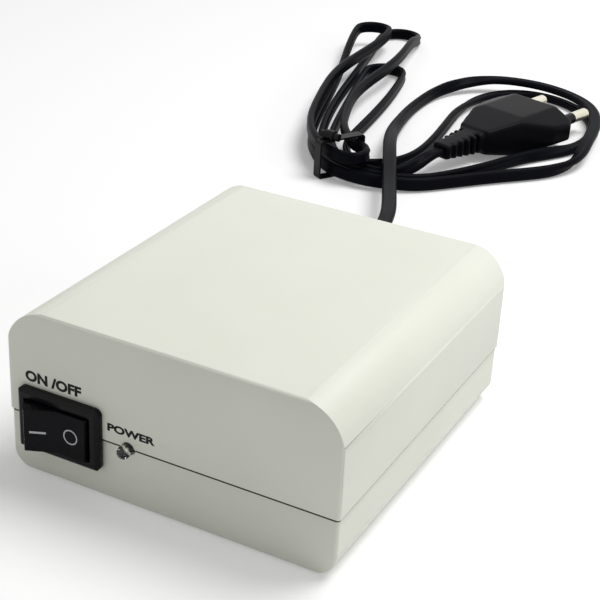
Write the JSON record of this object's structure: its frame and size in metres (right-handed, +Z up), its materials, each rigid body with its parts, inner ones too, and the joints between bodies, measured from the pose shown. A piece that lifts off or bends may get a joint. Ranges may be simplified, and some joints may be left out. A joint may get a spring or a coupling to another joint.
{
  "type": "rf modulator",
  "caption": "Mains-powered box that turns sound and picture signals into an aerial signal, with a rocker power switch, power light, rear sockets and a tied mains cord with plug.",
  "frame": {"origin": "middle of the flat underside of the case", "axes": "+Z up, +X to the right seen from the front, +Y to the rear; the switch is in the front face at -Y"},
  "size_m": [0.1565, 0.3567, 0.0396],
  "materials": {
    "upper_shell": "fine matt texture",
    "lower_shell": "fine matt texture",
    "case_screws": "zinc plated",
    "switch_housing": "satin black",
    "switch_rocker": "glossy black",
    "rocker_plunger": "natural nylon",
    "contact_arm": "phosphor bronze",
    "switch_terminals": "tin plated",
    "terminal_lugs": "insulated",
    "power_led": "clear resin, unlit",
    "led_legs": "tinned",
    "circuit_board": "green solder mask",
    "board_screws": "zinc plated",
    "transformer_core": "varnished laminations",
    "transformer_bobbin": "nylon",
    "transformer_winding": "enamelled copper",
    "fuse": "clear",
    "fuse_caps": "nickel plated",
    "fuse_clips": "spring brass",
    "rectifier_diodes": "epoxy",
    "capacitors": "printed sleeve",
    "voltage_regulator": "epoxy",
    "heat_sink": "bare extrusion",
    "rf_can": "tin plate",
    "rf_can_lid": "tin plate",
    "modulator_chip": "epoxy",
    "crystal": "nickel plated",
    "tuning_coil": "enamelled copper on a ferrite former",
    "rf_output_socket": "nickel plated",
    "rf_insulator": "white",
    "rf_contact": "nickel plated",
    "av_socket_block": "black",
    "av_socket_barrels": "nickel plated",
    "socket_insulators": "white",
    "socket_contacts": "plated",
    "live_wire": "brown insulation",
    "switched_wire": "black insulation",
    "neutral_wire": "blue insulation",
    "cord_inner_end": "black",
    "cord_bushing": "black",
    "cord_lead": "black, slight sheen",
    "cord_hank": "black, slight sheen",
    "cord_tail": "black, slight sheen",
    "cord_tie": "black",
    "plug_body": "black",
    "plug_pins": "nickel plated",
    "pin_sleeves": "black"
  },
  "bodies": {
    "case": {"upper_shell": "upper_shell", "lower_shell": "lower_shell", "case_screws": "case_screws", "switch_housing": "switch_housing", "switch_terminals": "switch_terminals", "terminal_lugs": "terminal_lugs", "power_led": "power_led", "led_legs": "led_legs", "circuit_board": "circuit_board", "board_screws": "board_screws", "transformer_core": "transformer_core", "transformer_bobbin": "transformer_bobbin", "transformer_winding": "transformer_winding", "fuse": "fuse", "fuse_caps": "fuse_caps", "fuse_clips": "fuse_clips", "rectifier_diodes": "rectifier_diodes", "capacitors": "capacitors", "voltage_regulator": "voltage_regulator", "heat_sink": "heat_sink", "rf_can": "rf_can", "rf_can_lid": "rf_can_lid", "modulator_chip": "modulator_chip", "crystal": "crystal", "tuning_coil": "tuning_coil", "rf_output_socket": "rf_output_socket", "rf_insulator": "rf_insulator", "rf_contact": "rf_contact", "av_socket_block": "av_socket_block", "av_socket_barrels": "av_socket_barrels", "socket_insulators": "socket_insulators", "socket_contacts": "socket_contacts", "live_wire": "live_wire", "switched_wire": "switched_wire", "neutral_wire": "neutral_wire", "cord_inner_end": "cord_inner_end", "cord_bushing": "cord_bushing", "cord_lead": "cord_lead", "cord_hank": "cord_hank", "cord_tail": "cord_tail", "cord_tie": "cord_tie", "plug_body": "plug_body", "plug_pins": "plug_pins", "pin_sleeves": "pin_sleeves"},
    "rocker": {"switch_rocker": "switch_rocker", "rocker_plunger": "rocker_plunger"},
    "arm": {"contact_arm": "contact_arm"}
  },
  "joints": [
    {"name": "power_rocker", "type": "hinge", "parent": "case", "child": "rocker", "pos_m": [-0.0262, -0.0423, 0.0141], "axis": [0, 0, -1], "range_deg": [0, 24]},
    {"name": "contact_rock", "type": "hinge", "parent": "case", "child": "arm", "pos_m": [-0.0262, -0.032, 0.0141], "axis": [0, 0, -1], "range_deg": [-14, 0]}
  ],
  "couplings": [
    {"joint": "contact_rock", "follows": "power_rocker", "ratio": -0.58333}
  ]
}
